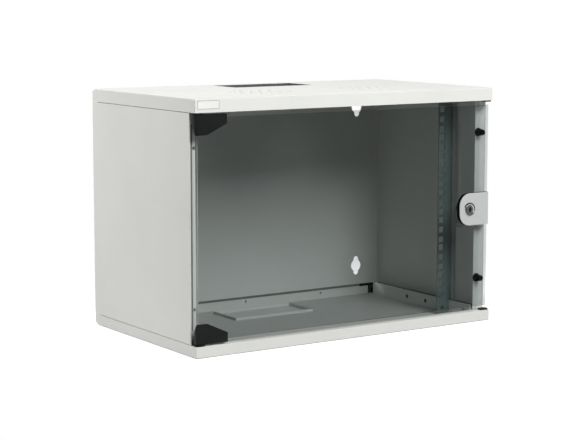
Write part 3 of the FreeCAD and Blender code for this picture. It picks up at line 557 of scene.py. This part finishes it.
def door_stop(level):
    """A soft buffer: a stem in the post, a foot, a waist and a rounded tip."""
    node = "door_buffer_" + level
    low, high = [Vector(corner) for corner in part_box(node)]
    foot = (high.x - low.x) / 2
    seat = high.y - 3.0 * MM
    rise = seat - low.y
    centre = ((low.x + high.x) / 2, seat, (low.z + high.z) / 2)
    stem, tip = 2.5 * MM, 4.5 * MM
    work = bmesh.new()
    stack(work, [(circle(stem), seat - high.y), (circle(stem), 0),
                 (circle(foot - 0.5 * MM), 0), (circle(foot), 0.5 * MM),
                 (circle(foot), 1.3 * MM), (circle(foot - 0.7 * MM), 2.0 * MM),
                 (circle(tip + 0.6 * MM), 0.45 * rise), (circle(tip + 0.2 * MM), 0.8 * rise),
                 (circle(tip - 0.3 * MM), rise - 0.7 * MM),
                 (circle(tip - 1.1 * MM), rise - 0.15 * MM),
                 (circle(1.2 * MM), rise), (circle(0.8 * MM), rise - 0.5 * MM)],
          facing(centre, 1, -1))
    settle(node + "_finish", to_mesh(work, node + "_finish"), [node], RUBBER_AND_SHADE)


def frame_strip(work, outer, inner, low, high, axis):
    """A flat frame between two rectangles, from one height to another."""
    corners = []
    for x0, x1, y0, y1 in (outer, inner):
        for height in (low, high):
            ring = []
            for across, up in ((x0, y0), (x1, y0), (x1, y1), (x0, y1)):
                spot = [across, up]
                spot.insert(axis, height)
                ring.append(work.verts.new(spot))
            corners.append(ring)
    for one, other in ((0, 1), (1, 3), (3, 2), (2, 0)):
        for step in range(4):
            after = (step + 1) % 4
            work.faces.new((corners[one][step], corners[one][after],
                            corners[other][after], corners[other][step]))
    bmesh.ops.recalc_face_normals(work, faces=work.faces)


def roof_shade_edging():
    """Dark grey edging on the collar of the roof's cable entry, painted shade for the dark seen
    past the entry's far edge.
    """
    wall = 0.8 * MM
    work = bmesh.new()
    frame_strip(work, (-SLOT_HALF, SLOT_HALF, SLOT_FRONT, SLOT_BACK),
                (-SLOT_HALF + wall, SLOT_HALF - wall, SLOT_FRONT + wall, SLOT_BACK - wall),
                HIGH.z - 5.2 * MM, HIGH.z - 0.15 * MM, 2)
    mesh = soften(to_mesh(work, "roof_shade_edging"), 0.2 * MM, 2)
    settle("roof_shade_edging", mesh, [], SHADE_EDGING, "cabinet")


def seam_shade_strips():
    """Dark grey strips behind the seams between the trays and the three walls, painted shade along
    the seams.
    """
    work = bmesh.new()
    for level in (LOW.z + SEAM_LEVEL, HIGH.z - SEAM_LEVEL):
        block(work, (0, REAR_LIP - SHADE_STRIP_GAUGE / 2, level),
              (2 * SHADE_STRIP_HALF, SHADE_STRIP_GAUGE, SHADE_STRIP_HEIGHT))
        for side in (-1, 1):
            block(work, (side * (WALL_FACE - SHADE_STRIP_GAUGE / 2), REAR_LIP - SHADE_STRIP_DEPTH / 2, level),
                  (SHADE_STRIP_GAUGE, SHADE_STRIP_DEPTH, SHADE_STRIP_HEIGHT))
    settle("seam_shade_strips", to_mesh(work, "seam_shade_strips"), [], SHADE_GREY, "cabinet")


def corner_shade_blocks():
    """Black blocks in the corners between the rear lip and the lower brackets, painted shade for
    the shadow gaps there.
    """
    outer, thick, gap = 259.6 * MM, 0.9 * MM, 0.6 * MM
    upright = (249.2 * MM, 1.8 * MM, 15.6 * MM)
    foot = (231.0 * MM, 15.0 * MM, 18.8 * MM)
    work = bmesh.new()
    for side in (-1, 1):
        for inner, low, high in (upright, foot):
            block(work, (side * (inner + outer) / 2, REAR_LIP - gap, LOW.z + (low + high) / 2),
                  (outer - inner, thick, high - low))
    settle("corner_shade_blocks", to_mesh(work, "corner_shade_blocks"), [], RUBBER_AND_SHADE, "cabinet")


def hole_shade_liners():
    """Black liners in the spare holes of the depth brackets behind the rails, painted shade that
    darkens the holes.
    """
    bore, rim, inner, outer = 1.3 * MM, 3.2 * MM, 0.2 * MM, 1.3 * MM
    work = bmesh.new()
    for low, high in solids_of("rail_bolts"):
        side = 1 if low.x > 0 else -1
        for step in (1, 2):
            centre = (BRACKET_LEG * side, (low.y + high.y) / 2 + step * BRACKET_PITCH,
                      (low.z + high.z) / 2)
            lathe(work, [(bore, inner), (rim, inner), (rim, outer), (bore, outer)],
                  facing(centre, 0, side))
    settle("hole_shade_liners", to_mesh(work, "hole_shade_liners"), [], RUBBER_AND_SHADE, "cabinet")


def hinge_side_shade_strip():
    """A grey strip in the corner between the hinge side's hem and its post, painted shade for the
    dark line in that corner.
    """
    low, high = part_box("side_panel_left")
    wide, thick, ends = 5.2 * MM, 0.8 * MM, 72.0 * MM
    edge = low[0] + 2.6 * MM
    work = bmesh.new()
    block(work, (edge + wide / 2, POST_FACE - thick / 2, (low[2] + high[2]) / 2),
          (wide, thick, high[2] - low[2] - ends))
    mesh = soften(to_mesh(work, "hinge_side_shade_strip"), 0.2 * MM, 2)
    settle("hinge_side_shade_strip", mesh, [], SHADE_GREY, "cabinet")


def rail_wings():
    """The narrow wings on the rails' outer edges, a little behind their front faces."""
    wide, thick, deep, lap, gap = 8.8 * MM, 1.5 * MM, 1.2 * MM, 1.0 * MM, 1.0 * MM
    work = bmesh.new()
    for hand in ("left", "right"):
        low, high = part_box("rack_rail_" + hand)
        edge, side = (high[0], 1) if hand == "right" else (low[0], -1)
        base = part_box("depth_bracket_lower_" + hand)[1][2] + gap
        block(work, (edge + side * (wide / 2 - lap), low[1] + deep + thick / 2,
                     (low[2] + high[2]) / 2),
              (wide, thick, low[2] + high[2] - 2 * base))
    mesh = soften(to_mesh(work, "rail_wings"), 0.3 * MM, 2)
    settle("rail_wings", mesh, [], DULL_ZINC, "cabinet")


def lock_side_light_strip():
    """A pale strip in the corner between the lock side's post and its hem, painted light over the
    hem's shaded inner face.
    """
    low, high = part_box("side_panel_right")
    hem = high[0] - 2.42 * MM
    wide, deep, gap = 5.2 * MM, 5.4 * MM, 2.0 * MM
    work = bmesh.new()
    rings = []
    for level in (low[2] + gap, high[2] - gap):
        rings.append([work.verts.new((x, y, level)) for x, y in
                      ((hem - wide, POST_FACE), (hem, POST_FACE - deep), (hem, POST_FACE))])
    join_rings(work, *rings)
    for ring in rings:
        work.faces.new(ring)
    bmesh.ops.recalc_face_normals(work, faces=work.faces)
    settle("lock_side_light_strip", to_mesh(work, "lock_side_light_strip"), [], PALE_LIGHT_STRIP, "cabinet")


def label():
    """The blank label: a satin film with a thin printed border."""
    low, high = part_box("blank_label")
    margin, line, ink = 0.5 * MM, 0.45 * MM, 0.03 * MM
    film = tidy_solid("blank_label")
    for vert in film.verts:
        vert.co.y = max(vert.co.y, low[1] + ink)
    settle("blank_label_finish", to_mesh(film, "blank_label_finish"), ["blank_label"], LABEL)
    border = []
    for inset in (margin, margin + line):
        border.append((low[0] + inset, high[0] - inset, low[2] + inset, high[2] - inset))
    work = bmesh.new()
    frame_strip(work, *border, low[1] + ink, low[1], 1)
    settle("label_border", to_mesh(work, "label_border"), [], LABEL_LINE, "cabinet")


rear_screws()
rail_screws()
door_stop("lower")
door_stop("upper")
roof_shade_edging()
seam_shade_strips()
corner_shade_blocks()
hole_shade_liners()
hinge_side_shade_strip()
rail_wings()
lock_side_light_strip()
label()

# ----------------------------------------------------------------- door

for level in ("lower", "upper"):
    dress("hinge_%s_shell" % level, BLACK_AND_SHADE, 0.7 * MM, 4)
    dress("hinge_%s_gasket" % level, RUBBER_AND_SHADE, 0)
    dress("hinge_%s_plate" % level, ZINC, 0.2 * MM)
    dress("hinge_%s_grub_screws" % level, ZINC, 0.3 * MM)
    dress("hinge_%s_pin" % level, ZINC, 0.4 * MM, 3)


def two_tone(node, width, segments, main, other, is_other):
    """A softened node in a main finish, with another on the faces that a test picks."""
    mesh = soften(to_mesh(tidy_solid(node), node + "_finish"), width, segments)
    mesh.materials.clear()
    mesh.materials.append(main)
    mesh.materials.append(other)
    for face in mesh.polygons:
        face.material_index = 1 if is_other(face) else 0
    settle(node + "_finish", mesh, [node], main)


def glass_door():
    """The pane, clear on its faces and ground on its edges."""
    def is_edge(face):
        return abs(face.normal.y) <= 0.9

    two_tone("glass_pane", 0.45 * MM, 2, GLASS, GLASS_RIM, is_edge)


# ----------------------------------------------------------------- lock

PLATE_LOW, PLATE_HIGH = [Vector(corner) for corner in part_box("lock_plate")]
BARREL_LOW, BARREL_HIGH = [Vector(corner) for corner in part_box("lock_barrel")]
LOCK = Vector(((BARREL_LOW.x + BARREL_HIGH.x) / 2, PLATE_LOW.y,
               (BARREL_LOW.z + BARREL_HIGH.z) / 2))
LOCK_BORE = 6.55 * MM
LOCK_FLANGE = 11.0 * MM
FLANGE_RISE = LOCK.y - BARREL_LOW.y
# The flange's outline, from its rim to the bore: (radius, share of the rise).
FLANGE_SHAPE = [(LOCK_FLANGE, 0.35), (LOCK_FLANGE - 0.25 * MM, 0.7),
                (LOCK_FLANGE - 0.8 * MM, 0.95), (LOCK_FLANGE - 1.4 * MM, 1.0),
                (LOCK_BORE + 1.2 * MM, 0.97), (LOCK_BORE + 0.5 * MM, 0.8), (LOCK_BORE, 0.45)]


def lock_plate():
    """The clamp plate: silver in front and round the glass edge, black behind the glass."""
    front, wrap = 2.0 * MM, 1.6 * MM

    def is_behind(face):
        return face.center.y > PLATE_LOW.y + front and face.center.x < PLATE_HIGH.x - wrap

    two_tone("lock_plate", 0.35 * MM, 3, SILVER, BLACK_AND_SHADE, is_behind)


def lock_gasket():
    """The rubber between plate and glass, pressed out a little all round."""
    pressed = 1.008
    work = tidy_solid("lock_gasket")
    middle = (PLATE_LOW + PLATE_HIGH) / 2
    for vert in work.verts:
        vert.co.x = middle.x + (vert.co.x - middle.x) * pressed
        vert.co.z = middle.z + (vert.co.z - middle.z) * pressed
    settle("lock_gasket_finish", to_mesh(work, "lock_gasket_finish"), ["lock_gasket"], RUBBER_AND_SHADE)


def flange_height(radius):
    """How far the flange's face stands out at a radius."""
    for (outer, high), (inner, low) in zip(FLANGE_SHAPE, FLANGE_SHAPE[1:]):
        if radius >= inner:
            share = (radius - inner) / (outer - inner)
            return FLANGE_RISE * (low + (high - low) * share)
    return FLANGE_RISE * FLANGE_SHAPE[-1][1]


def lock_barrel():
    """The plated barrel with a domed flange, with painted shade in dark chrome on the lower left
    of its face.
    """
    length = BARREL_HIGH.y - LOCK.y
    shank, rim = 9.4 * MM, 0.9 * MM
    rings = [(LOCK_BORE, -length), (shank, -length), (shank, 0), (LOCK_FLANGE, 0)]
    rings += [(radius, share * FLANGE_RISE) for radius, share in FLANGE_SHAPE]
    work = bmesh.new()
    lathe(work, rings, facing(LOCK, 1, -1), 64)
    mesh = to_mesh(work, "lock_barrel_finish")
    mesh.materials.append(CHROME)
    mesh.materials.append(DARK_CHROME_AND_SHADE)
    for face in mesh.polygons:
        across, up = face.center.x - LOCK.x, face.center.z - LOCK.z
        # Painted shade: faces on the lower left inside the rim take the dark chrome.
        shaded = across + 1.4 * up < 0 and math.hypot(across, up) < LOCK_FLANGE - rim
        face.material_index = 1 if shaded else 0
    settle("lock_barrel_finish", mesh, ["lock_barrel"], CHROME)


def lock_dark_reflection():
    """A black arc round the upper and right side of the flange, a painted dark reflection on the
    domed flange.
    """
    first, last, steps = math.radians(-38), math.radians(158), 56
    width, across, half = 2.6 * MM, 8, 0.03 * MM
    outer = LOCK_FLANGE - 0.02 * MM
    work = bmesh.new()
    rows = []
    for step in range(steps + 1):
        share = step / steps
        turn = first + (last - first) * share
        full = 1 - abs(2 * share - 1) ** 3
        inner = outer - width * (0.25 + 0.75 * full)
        row = []
        for lift in (-half, half):
            reaches = [inner + (outer - inner) * place / across for place in range(across + 1)]
            for radius in reaches if lift < 0 else reversed(reaches):
                row.append(work.verts.new((LOCK.x + radius * math.cos(turn),
                                           LOCK.y - flange_height(radius) - lift,
                                           LOCK.z + radius * math.sin(turn))))
        rows.append(row)
    for row, following in zip(rows, rows[1:]):
        join_rings(work, row, following)
    work.faces.new(rows[0])
    work.faces.new(list(reversed(rows[-1])))
    bmesh.ops.recalc_face_normals(work, faces=work.faces)
    settle("lock_dark_reflection", to_mesh(work, "lock_dark_reflection"), [], BLACK_AND_SHADE, "door")


def lock_plug():
    """The turning plug, with the inner faces of its keyway black as painted shade."""
    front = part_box("lock_plug")[0][1]
    half_wide, half_tall, skin = 1.3 * MM, 4.2 * MM, 0.2 * MM

    def is_keyway(face):
        across = abs(face.center.x - LOCK.x)
        up = abs(face.center.z - LOCK.z)
        return across < half_wide and up < half_tall and face.center.y > front + skin

    two_tone("lock_plug", 0.25 * MM, 2, DARK_CHROME_AND_SHADE, BLACK_AND_SHADE, is_keyway)


def keyway_shade_oval():
    """A black oval over the keyway, which turns with the plug, painted shade that widens the dark
    of the keyway.
    """
    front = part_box("lock_plug")[0][1]
    half_wide, half_tall, steps = 2.9 * MM, 4.4 * MM, 40
    work = bmesh.new()
    rings = []
    for share, lift in ((1.0, 0.0), (1.0, 0.10 * MM), (0.85, 0.14 * MM)):
        ring = []
        for step in range(steps):
            turn = 2 * math.pi * step / steps
            ring.append(work.verts.new((LOCK.x + half_wide * share * math.cos(turn),
                                        front - lift,
                                        LOCK.z + half_tall * share * math.sin(turn))))
        rings.append(ring)
    for ring, following in zip(rings, rings[1:]):
        join_rings(work, ring, following)
    work.faces.new(rings[0])
    work.faces.new(rings[-1])
    bmesh.ops.recalc_face_normals(work, faces=work.faces)
    settle("keyway_shade_oval", to_mesh(work, "keyway_shade_oval"), [], BLACK_AND_SHADE, "lock_core")


glass_door()
lock_plate()
lock_gasket()
lock_barrel()
lock_dark_reflection()
lock_plug()
keyway_shade_oval()
dress("lock_nut", ZINC, 0.5 * MM)
dress("lock_cam", DULL_ZINC, 0.3 * MM)
dress("lock_cam_screw", DULL_ZINC, 0.4 * MM)


# ------------------------------------------------------- floor, light, camera

WHITE = (1.0, 1.0, 1.0, 1.0)


def eye_rays(owner):
    """1 for what the eye, a mirror or clear glass shows, 0 for soft light."""
    path = owner.add("ShaderNodeLightPath")
    first = owner.add("ShaderNodeMath", operation="MAXIMUM")
    owner.join(path.outputs["Is Camera Ray"], first.inputs[0])
    owner.join(path.outputs["Is Glossy Ray"], first.inputs[1])
    second = owner.add("ShaderNodeMath", operation="MAXIMUM")
    owner.join(first.outputs[0], second.inputs[0])
    owner.join(path.outputs["Is Transmission Ray"], second.inputs[1])
    return second.outputs[0]


def worked_out(owner, operation, first, second=None):
    """One sum of a pattern with another, or with a number."""
    node = owner.add("ShaderNodeMath", operation=operation)
    owner.join(first, node.inputs[0])
    if isinstance(second, float):
        node.inputs[1].default_value = second
    elif second:
        owner.join(second, node.inputs[1])
    return node.outputs[0]


def away_from_object(pale):
    """How white the floor is: a third beside the object, and fully 0.45 m away."""
    parts = pale.add("ShaderNodeSeparateXYZ")
    pale.join(pale.place, parts.inputs[0])
    squares = []
    for name, half in (("X", HIGH.x), ("Y", HIGH.y)):
        size = worked_out(pale, "ABSOLUTE", parts.outputs[name])
        beyond = worked_out(pale, "SUBTRACT", size, half)
        outside = worked_out(pale, "MAXIMUM", beyond, 0.0)
        squares.append(worked_out(pale, "MULTIPLY", outside, outside))
    distance = worked_out(pale, "SQRT", worked_out(pale, "ADD", *squares))
    share = pale.add("ShaderNodeMapRange", interpolation_type="SMOOTHSTEP")
    pale.join(distance, share.inputs["Value"])
    share.inputs["From Min"].default_value = 0.0
    share.inputs["From Max"].default_value = 0.45
    share.inputs["To Min"].default_value = 0.33
    share.inputs["To Max"].default_value = 1.0
    return share.outputs["Result"]


def blend_of(owner, share, nothing, all_of_it):
    """Two shaders mixed by a share from 0 to 1."""
    mix = owner.add("ShaderNodeMixShader")
    owner.join(share, mix.inputs["Fac"])
    owner.join(nothing, mix.inputs[1])
    owner.join(all_of_it, mix.inputs[2])
    return mix.outputs[0]


def on_stage(name, mesh, finish, place):
    """A piece of the stage, which isn't part of the object."""
    piece = bpy.data.objects.new(name, mesh)
    piece.location = place
    bpy.context.scene.collection.objects.link(piece)
    mesh.materials.append(finish.material)
    return piece


def stage_floor():
    """A plain pale floor: it keeps a soft shadow by the object and is white beyond."""
    work = bmesh.new()
    bmesh.ops.create_circle(work, cap_ends=True, radius=14.0, segments=96)
    pale = Finish("floor_pale")
    pale.set(roughness=1.0, specular_ior_level=0.0)
    pale.tint(pale.noise(0.5, 1.0), (0.27, 0.27, 0.27, 1.0), (0.28, 0.28, 0.28, 1.0))
    shaded = pale.add("ShaderNodeBsdfDiffuse")
    shaded.inputs["Color"].default_value = (1.5, 1.5, 1.5, 1.0)
    white = pale.add("ShaderNodeEmission")
    white.inputs["Color"].default_value = WHITE
    seen = blend_of(pale, away_from_object(pale), shaded.outputs[0], white.outputs[0])
    mixed = blend_of(pale, eye_rays(pale), pale.shader.outputs[0], seen)
    pale.join(mixed, pale.output.inputs["Surface"])
    on_stage("floor", to_mesh(work, "floor"), pale, (0, 0, LOW.z - 0.3 * MM))


def stage_pad():
    """A dull grey pad under the object, seen only through its cable entries."""
    work = bmesh.new()
    bmesh.ops.create_grid(work, size=1.0)
    bmesh.ops.scale(work, vec=(HIGH.x - 12 * MM, HIGH.y - 22 * MM, 1.0), verts=work.verts)
    grey = Finish("pad_grey")
    grey.set(roughness=0.9, specular_ior_level=0.1)
    grey.tint(grey.noise(30.0, 2.0), colour(194, 192, 191), colour(200, 198, 197))
    on_stage("pad", to_mesh(work, "pad"), grey, (0, 0, LOW.z - 0.15 * MM))


def slot_flag():
    """A flag in the roof's cable entry that stops stray lamp light and isn't seen itself."""
    gap, depth = 4 * MM, 5.8 * MM
    work = bmesh.new()
    bmesh.ops.create_grid(work, size=0.5)
    bmesh.ops.scale(work, vec=(2 * SLOT_HALF - gap, SLOT_BACK - SLOT_FRONT - gap, 1.0),
                    verts=work.verts)
    black = Finish("flag_black")
    black.tint(black.noise(30.0, 2.0), colour(8, 8, 8), colour(12, 12, 12))
    flag = on_stage("flag", to_mesh(work, "flag"), black,
                    (0, (SLOT_FRONT + SLOT_BACK) / 2, HIGH.z - depth))
    flag.visible_camera = False
    flag.visible_diffuse = False
    flag.visible_glossy = False
    flag.visible_transmission = False


class Sky(Finish):
    """The world's nodes, with the same helpers."""

    def __init__(self):
        self.world = bpy.data.worlds.new("studio")
        bpy.context.scene.world = self.world
        self.world.use_nodes = True
        self.tree = self.world.node_tree


def studio_world(strength):
    """White to the eye, and a plain soft light on the object."""
    sky = Sky()
    soft = sky.tree.nodes["Background"]
    soft.inputs["Color"].default_value = WHITE
    soft.inputs["Strength"].default_value = strength
    white = sky.add("ShaderNodeBackground")
    white.inputs["Color"].default_value = WHITE
    white.inputs["Strength"].default_value = 1.0
    mixed = blend_of(sky, eye_rays(sky), soft.outputs[0], white.outputs[0])
    sky.join(mixed, sky.tree.nodes["World Output"].inputs["Surface"])


def softbox(name, place, side, power, spared=(), only=()):
    """A square soft lamp that isn't seen in the picture, aimed at the cabinet.

    A lamp doesn't light the pieces spared, and one with pieces named in only lights no others.
    """
    lamp = bpy.data.lights.new(name, "AREA")
    lamp.shape = "SQUARE"
    lamp.size = side
    lamp.energy = power
    item = bpy.data.objects.new(name, lamp)
    item.location = place
    aim = (LOW + HIGH) / 2 - Vector(place)
    item.rotation_euler = aim.to_track_quat("-Z", "Y").to_euler()
    item.visible_camera = False
    item.visible_glossy = False
    item.visible_transmission = False
    bpy.context.scene.collection.objects.link(item)
    if spared or only:
        group = bpy.data.collections.new(name + "_pieces")
        for piece in spared or only:
            group.objects.link(piece)
        for entry in group.collection_objects:
            entry.light_linking.link_state = "EXCLUDE" if spared else "INCLUDE"
        item.light_linking.receiver_collection = group


stage_floor()
stage_pad()
slot_flag()
studio_world(0.02)
# Three left lamps spare the right panel: only stray beams through a keyhole would reach it.
far_side = [side_panels["right"]]
softbox("key", (0.15, -2.45, 1.95), 1.3, 103.0)
softbox("key_right", (1.3, -2.3, 2.0), 1.3, 14.0)
softbox("side_front", (-2.3, -1.2, 0.5), 0.9, 5.0)
softbox("side", (-2.6, -0.2, 0.20), 0.6, 10.0, spared=far_side)
softbox("door_side", (-2.0, -0.42, 0.30), 0.3, 3.5, only=far_side)
softbox("top_left", (-1.3, 0.4, 1.9), 0.9, 7.0, spared=far_side)
softbox("rear_left", (-1.2, 1.6, 1.3), 0.8, 47.0, spared=far_side)

# The camera stands in front on the left, a little above the roof.
camera_data = bpy.data.cameras.new("camera")
camera_data.lens = 105.2
camera_data.sensor_width = 36.0
camera_data.clip_end = 100.0
camera = bpy.data.objects.new("camera", camera_data)
yaw, pitch, roll = math.radians(33.62), math.radians(-7.60), math.radians(0.06)
sight = Vector((math.sin(yaw) * math.cos(pitch), math.cos(yaw) * math.cos(pitch), math.sin(pitch)))
camera.location = Vector((-1478.6, -2222.8, 519.0)) * MM
turn = sight.to_track_quat("-Z", "Y").to_matrix() @ Matrix.Rotation(roll, 3, "Z")
camera.rotation_euler = turn.to_euler()
bpy.context.scene.collection.objects.link(camera)
bpy.context.scene.camera = camera
bpy.context.scene.view_settings.view_transform = "Standard"
